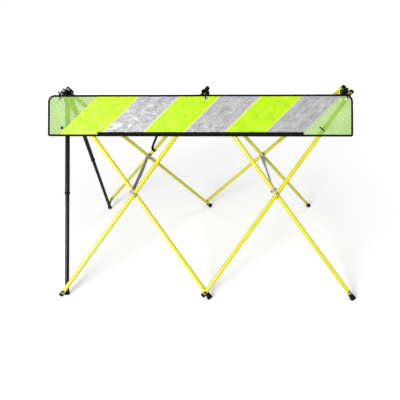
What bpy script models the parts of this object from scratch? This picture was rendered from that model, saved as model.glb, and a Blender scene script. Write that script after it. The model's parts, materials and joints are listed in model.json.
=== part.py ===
"""Folding scissor sawhorse: an A-frame of two lazy-tong rows of leg tubes hinged on one ridge.

Each row has two crossed pairs of tubes between three hubs. Two telescoping struts brace the left end,
a banner hangs in front of the front row, and two webbing straps hold the rows at their spread.
Units are metres, +Z is up, +X runs along the ridge and the front row faces -Y.
"""
import math

import bmesh
import bpy
from mathutils import Matrix

# Overall sizes
BAY = 0.762                     # hub to hub along the ridge, opened out
LEG_SPAN = 1.2954               # pivot to pivot along a leg tube
ROW_LEAN = math.radians(27.0)   # each row's lean from the vertical
HUB_DROP = 0.034                # ridge axis to the upper pivots, down the row

# Leg tubes, and the layers that they lie in, measured square to the row from the ridge axis
TUBE_R = 0.0111
TUBE_WALL = 0.0015
FIT_GAP = 0.0003                # clearance between pieces that touch or turn on each other
CAP_WALL = 0.0012
CAP_R = TUBE_R + FIT_GAP + CAP_WALL
CAP_START = 0.0105              # pivot to the cap's mouth
CAP_REACH = 0.027               # pivot to the cap's closed end
CAP_END_WALL = 0.0025
LOW_CAP_REACH = 0.027           # pivot to the closed end of a lower end cap
LAYER_GAP = 0.0008
STRUT_GAP = 0.0022              # strut to the inner leg tubes
FOLD_GAP = 0.0005               # struts to the plane where the two rows meet

# Feet
FOOT_WALL = 0.0036
FOOT_R = TUBE_R + FIT_GAP + FOOT_WALL
FOOT_START = 0.0295             # pivot to the top of the shoe, below the foot's neck
FOOT_REACH = 0.046
FOOT_SOLE = 0.007
FOOT_ROUND = 0.0015
SOLE_CUT = 0.004                # depth of the flat that stands on the floor

# Pivot pins
PIN_R = 0.004
PIN_HEAD_R = PIN_R + 0.004
PIN_HEAD_H = 0.005
PIN_TAIL_R = PIN_R + 0.003
PIN_TAIL_H = 0.0045
PIN_COLLAR_R = PIN_R + 0.004
DOME_SHOULDER = (0.55, 0.85)    # shares of the head's radius and height
DOME_EDGE = 0.3                 # share of the head's height
TAIL_POINT = 0.6                # share of the tail's radius and height

# Telescoping struts
STRUT_R = 0.0127
STRUT_WALL = 0.0012
STRUT_SLIDE_GAP = 0.0004
STRUT_STOP_R = STRUT_R + 0.0018
STRUT_STOP_H = 0.014
STRUT_MOUTH = 0.5               # share of the row's height where the outer tube ends

# Hub leaves
LEAF_HALF_WIDTH = 0.017
LEAF_TOP = 0.0105
LEAF_BELOW_PIN = 0.012
LEAF_INNER = 0.0008
TONGUE_INNER = LEAF_INNER + 0.0004     # knuckle tongue's inner side, inside the leaf's face
LEAF_BEVEL = 0.002
RIDGE_PIN_R = 0.004
RIDGE_HEAD_R = RIDGE_PIN_R + 0.0025
KNUCKLE_R = RIDGE_PIN_R + 0.005
KNUCKLE_HALF = 0.0084
RIDGE_HEAD_H = 0.0025
SPIGOT_LENGTH = 0.034
SPIGOT_ROOT = 0.006             # spigot's end inside the leaf
BOSS_R = PIN_R + 0.005
BOSS_ROOT = 0.00635             # boss's end inside the leaf
PIN_END_INSET = 0.0022          # upper pin's end inside the leaf's inner face

# Banner
BANNER_OVERHANG = 0.042         # past the outer hubs, before the shift
BANNER_WIDTH = 2 * (BAY + BANNER_OVERHANG)
BANNER_HEIGHT = 0.213
BANNER_THICK = 0.003
BANNER_TOP = 0.037              # ridge axis to the banner's upper edge, down the row
BANNER_SHIFT = -0.034           # banner's middle from the middle hub, along the ridge
BANNER_STANDOFF = 0.0025
BANNER_TOP_ROUND = 0.038
BANNER_BOTTOM_ROUND = 0.012

# Webbing straps between the rows
STRAP_WIDTH = 0.018
STRAP_THICK = 0.002
STRAP_ABOVE_CROSSING = 0.024
STRAP_LAP = 0.064               # each half's run past the middle
STRAP_CLEAR = 0.0012
STRAP_SAG = {"left": 0.006, "right": 0.035}

# Facets
TUBE_SIDES = 16
PIN_SIDES = 12
ROUND_STEPS = 4
THROUGH = 4                     # cutter's length in half widths of what it goes through

# Worked out from the sizes above
ROW_HEIGHT = math.sqrt(LEG_SPAN ** 2 - BAY ** 2)
LEG_ANGLE = math.acos(BAY / LEG_SPAN)
LEG_TILT = math.pi / 2 - LEG_ANGLE
LAYER_PITCH = 2 * CAP_R + LAYER_GAP
STRUT_LAYER = STRUT_R + FOLD_GAP
INNER_LAYER = STRUT_LAYER + STRUT_R + TUBE_R + STRUT_GAP
OUTER_LAYER = INNER_LAYER + LAYER_PITCH
LEAF_OUTER = INNER_LAYER - CAP_R - LAYER_GAP / 2
STRUT_INNER_R = STRUT_R - STRUT_WALL - STRUT_SLIDE_GAP
STRUT_FOOT_R = STRUT_INNER_R + FIT_GAP + FOOT_WALL
UPPER = HUB_DROP
CROSSING = HUB_DROP + ROW_HEIGHT / 2
LOWER = HUB_DROP + ROW_HEIGHT
LEG_DROP = math.sin(LEG_ANGLE) * math.cos(ROW_LEAN)
LEG_SIDE = math.sqrt(1 - LEG_DROP ** 2)
INNER_PIN_Z = FOOT_REACH * LEG_DROP + FOOT_R * LEG_SIDE - SOLE_CUT
RIDGE_Z = INNER_PIN_Z + LOWER * math.cos(ROW_LEAN) - INNER_LAYER * math.sin(ROW_LEAN)
STRUT_PIN_Z = INNER_PIN_Z - (INNER_LAYER - STRUT_LAYER) * math.sin(ROW_LEAN)
STRUT_REACH = (STRUT_PIN_Z + SOLE_CUT - STRUT_FOOT_R * math.sin(ROW_LEAN)) / math.cos(ROW_LEAN)
LEAF_BOTTOM = HUB_DROP + LEAF_BELOW_PIN
BANNER_LAYER = OUTER_LAYER + TUBE_R + FIT_GAP + PIN_HEAD_H + BANNER_STANDOFF
RIGHT_REACH = BAY + FOOT_REACH * math.cos(LEG_ANGLE) + FOOT_R * math.sin(LEG_ANGLE)
LEFT_REACH = BANNER_WIDTH / 2 - BANNER_SHIFT
MIDDLE_X = (LEFT_REACH - RIGHT_REACH) / 2

SIDES = {"front": -1, "back": 1}
HUB_X = {"left": -BAY, "mid": 0.0, "right": BAY}


def clear_scene():
    for obj in list(bpy.data.objects):
        bpy.data.objects.remove(obj, do_unlink=True)


def new_collection(name):
    collection = bpy.data.collections.new(name)
    bpy.context.scene.collection.children.link(collection)
    return collection


def new_material(name, color, roughness, metallic=0.0):
    material = bpy.data.materials.new(name)
    material.use_nodes = True
    shader = material.node_tree.nodes["Principled BSDF"]
    shader.inputs["Base Color"].default_value = (*color, 1.0)
    shader.inputs["Roughness"].default_value = roughness
    shader.inputs["Metallic"].default_value = metallic
    return material


clear_scene()
PARTS = new_collection("folding_sawhorse")
CUTTERS = new_collection("cutters")

YELLOW_PAINT = ((0.72, 0.66, 0.03), 0.35, 0.2)
BLACK_VINYL = ((0.015, 0.015, 0.016), 0.5)
BLACK_RUBBER = ((0.02, 0.02, 0.02), 0.75)
BLACK_NYLON = ((0.018, 0.018, 0.02), 0.45)
BLACK_PAINT = ((0.02, 0.02, 0.022), 0.3, 0.4)
BLACK_STEEL = ((0.05, 0.05, 0.055), 0.35, 1.0)
LIME_SHEET = ((0.62, 0.9, 0.02), 0.3)
GREY_WEBBING = ((0.3, 0.3, 0.3), 0.85)


def add_object(name, mesh, look, parent, location=(0, 0, 0), rotation=(0, 0, 0)):
    """Link a mesh as a named part, with a material of its own."""
    mesh.name = name
    obj = bpy.data.objects.new(name, mesh)
    mesh.materials.append(new_material(name, *look))
    PARTS.objects.link(obj)
    obj.parent = parent
    obj.location = location
    obj.rotation_euler = rotation
    return obj


def add_tool(name, mesh, parent, location=(0, 0, 0), rotation=(0, 0, 0)):
    """Link a mesh as a cutter or as an addition, which isn't a part."""
    obj = bpy.data.objects.new(name, mesh)
    CUTTERS.objects.link(obj)
    obj.parent = parent
    obj.location = location
    obj.rotation_euler = rotation
    obj.hide_render = True
    obj.display_type = "WIRE"
    return obj


def add_empty(name, parent=None, location=(0, 0, 0), rotation=(0, 0, 0)):
    obj = bpy.data.objects.new(name, None)
    PARTS.objects.link(obj)
    obj.parent = parent
    obj.location = location
    obj.rotation_euler = rotation
    obj.empty_display_size = 0.03
    return obj


def boolean(obj, tool, operation):
    modifier = obj.modifiers.new(operation.lower(), "BOOLEAN")
    modifier.operation = operation
    modifier.solver = "EXACT"
    modifier.object = tool


def add_turned(name, profile, look, parent, location=(0, 0, 0), rotation=(0, 0, 0), sides=TUBE_SIDES,
               closed=False):
    """A part turned from a profile of (radius, height) points about its own Z axis."""
    mesh = bpy.data.meshes.new(name)
    edges = [(i, i + 1) for i in range(len(profile) - 1)]
    if closed:
        edges.append((len(profile) - 1, 0))
    mesh.from_pydata([(r, 0.0, z) for r, z in profile], edges, [])
    obj = add_object(name, mesh, look, parent, location, rotation)
    screw = obj.modifiers.new("spin", "SCREW")
    screw.steps = sides
    screw.render_steps = sides
    screw.use_merge_vertices = True
    screw.merge_threshold = 0.00001
    return obj


def cylinders(specs, segments=PIN_SIDES):
    """One mesh of separate cylinders, each given as (radius, length, matrix)."""
    bm = bmesh.new()
    for radius, length, matrix in specs:
        bmesh.ops.create_cone(bm, cap_ends=True, segments=segments, radius1=radius, radius2=radius,
                              depth=length, matrix=matrix)
    mesh = bpy.data.meshes.new("cylinders")
    bm.to_mesh(mesh)
    bm.free()
    return mesh


def box(size, centre):
    bm = bmesh.new()
    bmesh.ops.create_cube(bm, size=1.0, matrix=Matrix.Translation(centre) @ Matrix.Diagonal((*size, 1.0)))
    mesh = bpy.data.meshes.new("box")
    bm.to_mesh(mesh)
    bm.free()
    return mesh


def extruded(outline, thickness, matrix):
    """Mesh of a flat outline with a thickness, moved from the XY plane by matrix."""
    curve = bpy.data.curves.new("outline", "CURVE")
    curve.dimensions = "2D"
    curve.fill_mode = "BOTH"
    curve.extrude = thickness / 2
    spline = curve.splines.new("POLY")
    spline.points.add(len(outline) - 1)
    for point, (x, y) in zip(spline.points, outline):
        point.co = (x, y, 0.0, 1.0)
    spline.use_cyclic_u = True
    guide = bpy.data.objects.new("outline", curve)
    CUTTERS.objects.link(guide)
    depsgraph = bpy.context.evaluated_depsgraph_get()
    mesh = bpy.data.meshes.new_from_object(guide.evaluated_get(depsgraph))
    bpy.data.objects.remove(guide, do_unlink=True)
    bm = bmesh.new()
    bm.from_mesh(mesh)
    bmesh.ops.remove_doubles(bm, verts=bm.verts, dist=0.000001)
    bmesh.ops.transform(bm, matrix=matrix, verts=bm.verts)
    bmesh.ops.recalc_face_normals(bm, faces=bm.faces)
    bm.to_mesh(mesh)
    bm.free()
    return mesh


def upside_down(profile):
    return [(r, -z) for r, z in reversed(profile)]


def arc(centre, radius, start, end, steps=ROUND_STEPS):
    """Points of an arc, angles in degrees, both ends included."""
    points = []
    for i in range(steps + 1):
        angle = math.radians(start + (end - start) * i / steps)
        points.append((centre[0] + radius * math.cos(angle), centre[1] + radius * math.sin(angle)))
    return points


def tube_profile(low, high, radius, wall):
    return [(radius, high), (radius, low), (radius - wall, low), (radius - wall, high)]


def cap_profile(start, reach, radius, bore, end_wall, rounding):
    """A cup over a tube's upper end, with its mouth at start and its closed end at reach."""
    return [(0.0, reach), (radius - rounding, reach), (radius, reach - rounding), (radius, start),
            (bore, start), (bore, reach - end_wall), (0.0, reach - end_wall)]


def foot_profile(bore):
    """A leg's foot, drawn upwards: a slim neck round the tube that widens into a shoe."""
    return [(0.0, FOOT_REACH), (FOOT_R - FOOT_ROUND, FOOT_REACH), (FOOT_R, FOOT_REACH - FOOT_ROUND),
            (FOOT_R, FOOT_START), (CAP_R, FOOT_START - FOOT_ROUND), (CAP_R, CAP_START), (bore, CAP_START),
            (bore, FOOT_REACH - FOOT_SOLE), (0.0, FOOT_REACH - FOOT_SOLE)]


def pin_profile(head_at, tail_at, collars=(), tail_head=True):
    """A pin from its domed head down to its tail, with a collar in each gap between layers."""
    shoulder_r, shoulder_h = DOME_SHOULDER
    points = [(0.0, head_at + PIN_HEAD_H), (PIN_HEAD_R * shoulder_r, head_at + PIN_HEAD_H * shoulder_h),
              (PIN_HEAD_R, head_at + PIN_HEAD_H * DOME_EDGE), (PIN_HEAD_R, head_at), (PIN_R, head_at)]
    for top, bottom in collars:
        points += [(PIN_R, top), (PIN_COLLAR_R, top), (PIN_COLLAR_R, bottom), (PIN_R, bottom)]
    points.append((PIN_R, tail_at))
    if tail_head:
        points += [(PIN_TAIL_R, tail_at), (PIN_TAIL_R, tail_at - PIN_TAIL_H * TAIL_POINT),
                   (PIN_TAIL_R * TAIL_POINT, tail_at - PIN_TAIL_H), (0.0, tail_at - PIN_TAIL_H)]
    else:
        points.append((0.0, tail_at))
    return points


def make_leg(row, side, name, top_hub_x, foot_hub_x, layer, pivot_share, has_foot):
    """A leg tube with its two end pieces, under an empty on the axis that the leg turns about.

    pivot_share is how far down the leg that axis lies: 0 at the upper pin, 0.5 at the crossing.
    """
    pivot_x = top_hub_x + (foot_hub_x - top_hub_x) * pivot_share
    pivot_t = UPPER + ROW_HEIGHT * pivot_share
    tilt = LEG_TILT if top_hub_x > foot_hub_x else -LEG_TILT
    pivot = add_empty(name + "_axis", row, (pivot_x, side * layer, -pivot_t), (0, tilt, 0))
    upper_pin = LEG_SPAN * pivot_share
    lower_pin = upper_pin - LEG_SPAN

    reach = FOOT_REACH if has_foot else LOW_CAP_REACH
    end_wall = FOOT_SOLE if has_foot else CAP_END_WALL
    high = upper_pin + CAP_REACH - CAP_END_WALL - FIT_GAP
    low = lower_pin - reach + end_wall + FIT_GAP
    tube = add_turned(name + "_tube", tube_profile(low, high, TUBE_R, TUBE_WALL), YELLOW_PAINT, pivot,
                      closed=True)
    across = Matrix.Rotation(math.pi / 2, 4, "X")
    holes = [(PIN_R + FIT_GAP, THROUGH * TUBE_R, Matrix.Translation((0, 0, z)) @ across)
             for z in (upper_pin, upper_pin - LEG_SPAN / 2, lower_pin)]
    boolean(tube, add_tool(name + "_holes", cylinders(holes), pivot), "DIFFERENCE")

    cup = cap_profile(CAP_START, CAP_REACH, CAP_R, TUBE_R + FIT_GAP, CAP_END_WALL, CAP_WALL)
    add_turned(name + "_top_cap", cup, BLACK_VINYL, pivot, (0, 0, upper_pin))
    if has_foot:
        shoe = upside_down(foot_profile(TUBE_R + FIT_GAP))
        piece = add_turned(name + "_foot", shoe, BLACK_RUBBER, pivot, (0, 0, lower_pin))
        boolean(piece, FLOOR, "DIFFERENCE")
    else:
        low_cup = cap_profile(CAP_START, LOW_CAP_REACH, CAP_R, TUBE_R + FIT_GAP, CAP_END_WALL, CAP_WALL)
        add_turned(name + "_bottom_cap", upside_down(low_cup), BLACK_VINYL, pivot, (0, 0, lower_pin))


def make_pin(row, side, name, x, t, head_layer, tail_layer, collars=(), tail_at=None, tail_r=TUBE_R):
    """A pivot pin square to the row, from in front of head_layer's tube to behind tail_layer's."""
    head_at = head_layer + TUBE_R + FIT_GAP
    has_tail = tail_at is None
    if has_tail:
        tail_at = tail_layer - tail_r - FIT_GAP
    profile = pin_profile(head_at, tail_at, collars, has_tail)
    add_turned(name, profile, BLACK_STEEL, row, (x, 0, -t), (-side * math.pi / 2, 0, 0), PIN_SIDES)


def make_pins(row, side, name):
    between = (OUTER_LAYER - TUBE_R - FIT_GAP, INNER_LAYER + TUBE_R + FIT_GAP)
    leaf_end = LEAF_INNER + PIN_END_INSET
    make_pin(row, side, name + "_left_top_pin", -BAY, UPPER, INNER_LAYER, None, tail_at=leaf_end)
    make_pin(row, side, name + "_mid_top_pin", 0, UPPER, OUTER_LAYER, None, [between], leaf_end)
    make_pin(row, side, name + "_right_top_pin", BAY, UPPER, OUTER_LAYER, None, tail_at=leaf_end)
    make_pin(row, side, name + "_left_crossing_pin", -BAY / 2, CROSSING, OUTER_LAYER, INNER_LAYER, [between])
    make_pin(row, side, name + "_right_crossing_pin", BAY / 2, CROSSING, OUTER_LAYER, INNER_LAYER, [between])
    long_collar = (OUTER_LAYER - TUBE_R - FIT_GAP, STRUT_LAYER + STRUT_INNER_R + FIT_GAP)
    make_pin(row, side, name + "_left_bottom_pin", -BAY, LOWER, OUTER_LAYER, STRUT_LAYER, [long_collar],
             tail_r=STRUT_INNER_R)
    make_pin(row, side, name + "_mid_bottom_pin", 0, LOWER, OUTER_LAYER, INNER_LAYER, [between])
    make_pin(row, side, name + "_right_bottom_pin", BAY, LOWER, INNER_LAYER, INNER_LAYER)


def make_strut(row, side, name):
    """Outer tube from the left hub's spigot down to its stop collar, and the inner tube to the foot."""
    top = add_empty(name + "_outer_axis", row, (-BAY, side * STRUT_LAYER, 0))
    mouth = -(UPPER + ROW_HEIGHT * STRUT_MOUTH)
    bore = STRUT_R - STRUT_WALL
    profile = [(STRUT_R, -LEAF_BOTTOM - FIT_GAP), (STRUT_R, mouth + STRUT_STOP_H),
               (STRUT_STOP_R, mouth + STRUT_STOP_H), (STRUT_STOP_R, mouth), (bore, mouth),
               (bore, -LEAF_BOTTOM - FIT_GAP)]
    add_turned(name + "_outer_tube", profile, BLACK_PAINT, top, closed=True)

    foot = add_empty(name + "_inner_axis", row, (-BAY, side * STRUT_LAYER, -LOWER))
    high = LOWER - LEAF_BOTTOM - SPIGOT_LENGTH - 2 * FIT_GAP
    low = -STRUT_REACH + FOOT_SOLE + FIT_GAP
    inner = add_turned(name + "_inner_tube", tube_profile(low, high, STRUT_INNER_R, TUBE_WALL), BLACK_PAINT,
                       foot, closed=True)
    hole = [(PIN_R + FIT_GAP, THROUGH * STRUT_R, Matrix.Rotation(math.pi / 2, 4, "X"))]
    boolean(inner, add_tool(name + "_hole", cylinders(hole), foot), "DIFFERENCE")
    cup = cap_profile(CAP_START, STRUT_REACH, STRUT_FOOT_R, STRUT_INNER_R + FIT_GAP, FOOT_SOLE, FOOT_ROUND)
    piece = add_turned(name + "_foot", upside_down(cup), BLACK_RUBBER, foot)
    boolean(piece, FLOOR, "DIFFERENCE")


def knuckle_outline():
    """A hinge knuckle round the ridge axis, with a tongue down into the leaf's block."""
    tongue_end = -(LEAF_TOP + 2 * LEAF_BEVEL)
    meet = -math.degrees(math.acos(TONGUE_INNER / KNUCKLE_R))
    outline = arc((0, 0), KNUCKLE_R, 0.0, 360.0 + meet, 4 * ROUND_STEPS)
    return outline + [(TONGUE_INNER, tongue_end), (KNUCKLE_R, tongue_end)]


def make_leaf(row, side, hub, name):
    """One half of a hub: a block on the upper pivot and its knuckles on the ridge axis."""
    x = HUB_X[hub]
    depth = LEAF_OUTER - LEAF_INNER
    height = LEAF_BOTTOM - LEAF_TOP
    middle = (0, side * (LEAF_INNER + depth / 2), -(LEAF_TOP + height / 2))
    leaf = add_object(name, box((2 * LEAF_HALF_WIDTH, depth, height), middle), BLACK_NYLON, row, (x, 0, 0))
    bevel = leaf.modifiers.new("round", "BEVEL")
    bevel.width = LEAF_BEVEL
    bevel.segments = 1
    bevel.limit_method = "ANGLE"

    # Outline x is the distance out from the ridge and y is height, turned to lie across the ridge.
    flip = Matrix.Diagonal((1, side, 1, 1))
    across = Matrix(((0, 0, 1, 0), (1, 0, 0, 0), (0, 1, 0, 0), (0, 0, 0, 1)))
    end_width = LEAF_HALF_WIDTH - KNUCKLE_HALF - FIT_GAP
    end_middle = KNUCKLE_HALF + FIT_GAP + end_width / 2
    places = [(0.0, 2 * KNUCKLE_HALF)]
    if side > 0:
        places = [(-end_middle, end_width), (end_middle, end_width)]
    for i, (offset, width) in enumerate(places):
        moved = Matrix.Translation((offset, 0, 0)) @ flip @ across
        knuckle = add_tool(f"{name}_knuckle_{i}", extruded(knuckle_outline(), width, moved), row, (x, 0, 0))
        boolean(leaf, knuckle, "UNION")
    if hub == "left":
        length = SPIGOT_LENGTH + SPIGOT_ROOT
        centre = (0, side * STRUT_LAYER, -(LEAF_BOTTOM + SPIGOT_LENGTH - length / 2))
        plug = [(STRUT_R - STRUT_WALL - FIT_GAP, length, Matrix.Translation(centre))]
        boolean(leaf, add_tool(name + "_spigot", cylinders(plug, TUBE_SIDES), row, (x, 0, 0)), "UNION")
    if hub == "right":
        inside = LEAF_OUTER - BOSS_ROOT
        length = OUTER_LAYER - TUBE_R - FIT_GAP - inside
        centre = Matrix.Translation((0, side * (inside + length / 2), -UPPER))
        boss = cylinders([(BOSS_R, length, centre @ Matrix.Rotation(math.pi / 2, 4, "X"))], TUBE_SIDES)
        boolean(leaf, add_tool(name + "_boss", boss, row, (x, 0, 0)), "UNION")
    along = Matrix.Rotation(math.pi / 2, 4, "Y")
    square = Matrix.Translation((0, 0, -UPPER)) @ Matrix.Rotation(math.pi / 2, 4, "X")
    bores = [(RIDGE_PIN_R + FIT_GAP, THROUGH * LEAF_HALF_WIDTH, along),
             (PIN_R + FIT_GAP, THROUGH * OUTER_LAYER, square)]
    boolean(leaf, add_tool(name + "_bores", cylinders(bores), row, (x, 0, 0)), "DIFFERENCE")


def make_ridge_pin(ridge, hub):
    head_at = LEAF_HALF_WIDTH + FIT_GAP
    half = [(0.0, head_at + RIDGE_HEAD_H), (RIDGE_HEAD_R, head_at + RIDGE_HEAD_H), (RIDGE_HEAD_R, head_at),
            (RIDGE_PIN_R, head_at)]
    profile = half + upside_down(half)
    add_turned(hub + "_ridge_pin", profile, BLACK_STEEL, ridge, (HUB_X[hub], 0, 0), (0, math.pi / 2, 0),
               PIN_SIDES)


def make_banner(row):
    right = BANNER_WIDTH / 2
    top = -BANNER_TOP
    bottom = -(BANNER_TOP + BANNER_HEIGHT)
    high, low = BANNER_TOP_ROUND, BANNER_BOTTOM_ROUND
    outline = (arc((right - high, top - high), high, 0, 90) + arc((-right + high, top - high), high, 90, 180)
               + arc((-right + low, bottom + low), low, 180, 270)
               + arc((right - low, bottom + low), low, 270, 360))
    stand = Matrix.Rotation(math.pi / 2, 4, "X")
    mesh = extruded(outline, BANNER_THICK, stand)
    add_object("banner", mesh, LIME_SHEET, row, (BANNER_SHIFT, -(BANNER_LAYER + BANNER_THICK / 2), 0))


def make_strap_half(side, bay, name):
    """Half of a strap, from just inside its leg tube to past the middle, lapped on the other half."""
    crossing_x = -BAY / 2 if bay == "left" else BAY / 2
    x = MIDDLE_X + crossing_x - STRAP_ABOVE_CROSSING * math.cos(LEG_ANGLE)
    t = CROSSING - STRAP_ABOVE_CROSSING * math.sin(LEG_ANGLE)
    out = INNER_LAYER - TUBE_R - STRAP_CLEAR
    reach = t * math.sin(ROW_LEAN) + out * math.cos(ROW_LEAN)
    z = RIDGE_Z - t * math.cos(ROW_LEAN) + out * math.sin(ROW_LEAN)
    # The front half lies on the back half where they lap.
    lift = STRAP_THICK / 2 + FIT_GAP if side < 0 else -(STRAP_THICK / 2 + FIT_GAP)
    steps = 2 * ROUND_STEPS
    stations = [side * (reach - (reach + STRAP_LAP) * i / steps) for i in range(steps + 1)]
    heights = [lift - STRAP_SAG[bay] * (1 - (y / reach) ** 2) for y in stations]
    upper = [(y, h + STRAP_THICK / 2) for y, h in zip(stations, heights)]
    lower = [(y, h - STRAP_THICK / 2) for y, h in zip(stations, heights)]
    across = Matrix(((0, 0, 1, 0), (1, 0, 0, 0), (0, 1, 0, 0), (0, 0, 0, 1)))
    mesh = extruded(upper + lower[::-1], STRAP_WIDTH, across)
    add_object(name, mesh, GREY_WEBBING, None, (x, 0, z))


FLOOR = add_tool("floor_cut", box((THROUGH * BAY, THROUGH * BAY, BAY), (0, 0, -BAY / 2)), None)
ridge = add_empty("ridge_axis", None, (MIDDLE_X, 0, RIDGE_Z))

for row_name, side in SIDES.items():
    row = add_empty(row_name + "_row", ridge, (0, 0, 0), (side * ROW_LEAN, 0, 0))
    make_leg(row, side, row_name + "_left_outer", 0, -BAY, OUTER_LAYER, 0.0, False)
    make_leg(row, side, row_name + "_left_inner", -BAY, 0, INNER_LAYER, 0.5, True)
    make_leg(row, side, row_name + "_right_outer", BAY, 0, OUTER_LAYER, 0.5, False)
    make_leg(row, side, row_name + "_right_inner", 0, BAY, INNER_LAYER, 0.0, True)
    make_pins(row, side, row_name)
    make_strut(row, side, row_name + "_strut")
    for hub in HUB_X:
        make_leaf(row, side, hub, f"{hub}_hub_{row_name}_leaf")
    if row_name == "front":
        make_banner(row)
    for bay in STRAP_SAG:
        make_strap_half(side, bay, f"{bay}_strap_{row_name}_half")

for hub in HUB_X:
    make_ridge_pin(ridge, hub)

bpy.context.view_layer.update()
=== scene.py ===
"""Looks of the folding sawhorse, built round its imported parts. Metres, +Z up, the front row faces -Y."""
import json
import math

import bmesh
import bpy
from mathutils import Matrix, Vector, noise


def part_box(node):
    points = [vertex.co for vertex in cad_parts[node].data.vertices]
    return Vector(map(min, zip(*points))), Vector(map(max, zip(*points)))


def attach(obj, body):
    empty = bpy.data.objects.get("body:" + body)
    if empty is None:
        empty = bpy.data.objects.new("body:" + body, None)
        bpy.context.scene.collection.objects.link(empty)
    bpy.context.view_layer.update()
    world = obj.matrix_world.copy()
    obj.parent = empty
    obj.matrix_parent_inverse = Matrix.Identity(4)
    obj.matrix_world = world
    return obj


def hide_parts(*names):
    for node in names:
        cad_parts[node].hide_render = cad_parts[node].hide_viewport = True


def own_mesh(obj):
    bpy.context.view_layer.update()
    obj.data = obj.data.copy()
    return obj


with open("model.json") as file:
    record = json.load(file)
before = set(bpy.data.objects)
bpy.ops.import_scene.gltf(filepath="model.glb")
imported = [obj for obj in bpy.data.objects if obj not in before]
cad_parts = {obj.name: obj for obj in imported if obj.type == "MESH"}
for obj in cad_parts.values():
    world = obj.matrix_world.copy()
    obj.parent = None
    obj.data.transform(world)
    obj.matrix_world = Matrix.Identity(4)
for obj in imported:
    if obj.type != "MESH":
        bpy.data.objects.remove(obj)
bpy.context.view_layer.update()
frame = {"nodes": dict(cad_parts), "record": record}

SIDES = {"front": -1, "back": 1}
NODES = frame["nodes"]
JOINTS = {joint["name"]: joint for joint in frame["record"]["behaviour"]["joints"]}


def middle(node):
    low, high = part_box(node)
    return (low + high) / 2


RIDGE = middle("mid_ridge_pin")
BAY = middle("right_ridge_pin").x - RIDGE.x
LEAN_SIN = abs(JOINTS["scissor"]["axis"][2])
LEAN_COS = abs(JOINTS["scissor"]["axis"][1])


def at(side, x, t, n):
    """World point of a row: x from the middle hub, t down the row and n out of it, both from the ridge."""
    return RIDGE + Vector((x, side * (t * LEAN_SIN + n * LEAN_COS), n * LEAN_SIN - t * LEAN_COS))


def placed(origin, along, out):
    """A frame with its Z along a piece and its Y out of the row."""
    z = along.normalized()
    x = out.cross(z).normalized()
    y = z.cross(x)
    return Matrix.Translation(origin) @ Matrix((x, y, z)).transposed().to_4x4()


def outward(side):
    return at(side, 0, 0, 1) - at(side, 0, 0, 0)


def row_frame(side):
    """X along the ridge, Y up the row and Z out of it, from the ridge's middle."""
    up = at(side, 0, -1, 0) - at(side, 0, 0, 0)
    return Matrix.Translation(RIDGE) @ Matrix((Vector((1, 0, 0)), up, outward(side))).transposed().to_4x4()


def local_box(node, matrix):
    """Lowest and highest corner of a CAD node, in a frame of its own."""
    inverse = matrix.inverted()
    points = [inverse @ v.co for v in NODES[node].data.vertices]
    low = Vector([min(p[i] for p in points) for i in range(3)])
    high = Vector([max(p[i] for p in points) for i in range(3)])
    return low, high


def row_middle(node):
    low, high = local_box(node, row_frame(-1))
    return (low + high) / 2


OUTER = row_middle("front_left_outer_tube").z
INNER = row_middle("front_left_inner_tube").z
STRUT = row_middle("front_strut_outer_tube").z
UPPER = -row_middle("front_mid_top_pin").y
LOWER = -row_middle("front_mid_bottom_pin").y
LEGS = {
    "left_outer": (0.0, -BAY, OUTER),
    "left_inner": (-BAY, 0.0, INNER),
    "right_outer": (BAY, 0.0, OUTER),
    "right_inner": (0.0, BAY, INNER),
}


# ---------------------------------------------------------------- camera, lights and floor

CAMERA_FROM_RIDGE = Vector((0.0359, -2.2154, 0.4403))
CAMERA_PITCH = math.radians(26.36)
CAMERA_YAW = math.radians(-1.94)
CAMERA_ROLL = math.radians(-0.92)
CAMERA_LENS = 35.61
AMBIENT = 0.16
KEY_POWER, FILL_POWER, TOP_POWER = 330, 16, 22
BACKDROP_R = 30.0


def make_camera():
    data = bpy.data.cameras.new("camera")
    data.lens = CAMERA_LENS
    data.sensor_width = 36
    camera = bpy.data.objects.new("camera", data)
    bpy.context.scene.collection.objects.link(camera)
    forward = Vector((math.sin(CAMERA_YAW) * math.cos(CAMERA_PITCH),
                      math.cos(CAMERA_YAW) * math.cos(CAMERA_PITCH), -math.sin(CAMERA_PITCH)))
    level = forward.cross(Vector((0, 0, 1))).normalized()
    upright = level.cross(forward)
    right = level * math.cos(CAMERA_ROLL) + upright * math.sin(CAMERA_ROLL)
    up = upright * math.cos(CAMERA_ROLL) - level * math.sin(CAMERA_ROLL)
    turn = Matrix((right, up, -forward)).transposed().to_4x4()
    camera.matrix_world = Matrix.Translation(RIDGE + CAMERA_FROM_RIDGE) @ turn
    bpy.context.scene.camera = camera


def area_light(name, place, aim, size, power):
    data = bpy.data.lights.new(name, "AREA")
    data.shape = "DISK"
    data.size = size
    data.energy = power
    lamp = bpy.data.objects.new(name, data)
    bpy.context.scene.collection.objects.link(lamp)
    lamp.location = place
    lamp.rotation_euler = (Vector(aim) - Vector(place)).to_track_quat("-Z", "Y").to_euler()


def make_stage():
    scene = bpy.context.scene
    scene.view_settings.view_transform = "Standard"
    world = bpy.data.worlds.new("studio")
    world.use_nodes = True
    world.node_tree.nodes["Background"].inputs["Color"].default_value = (1, 1, 1, 1)
    world.node_tree.nodes["Background"].inputs["Strength"].default_value = AMBIENT
    scene.world = world
    area_light("key", (-2.3, -4.9, 2.1), (0, 0, 0.6), 1.8, KEY_POWER)
    area_light("fill", (2.8, -1.8, 1.4), (0, 0, 0.6), 2.0, FILL_POWER)
    area_light("top", (0.3, 1.2, 3.6), (0, 0, 0.5), 2.0, TOP_POWER)
    make_floor()
    make_backdrop()


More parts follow.
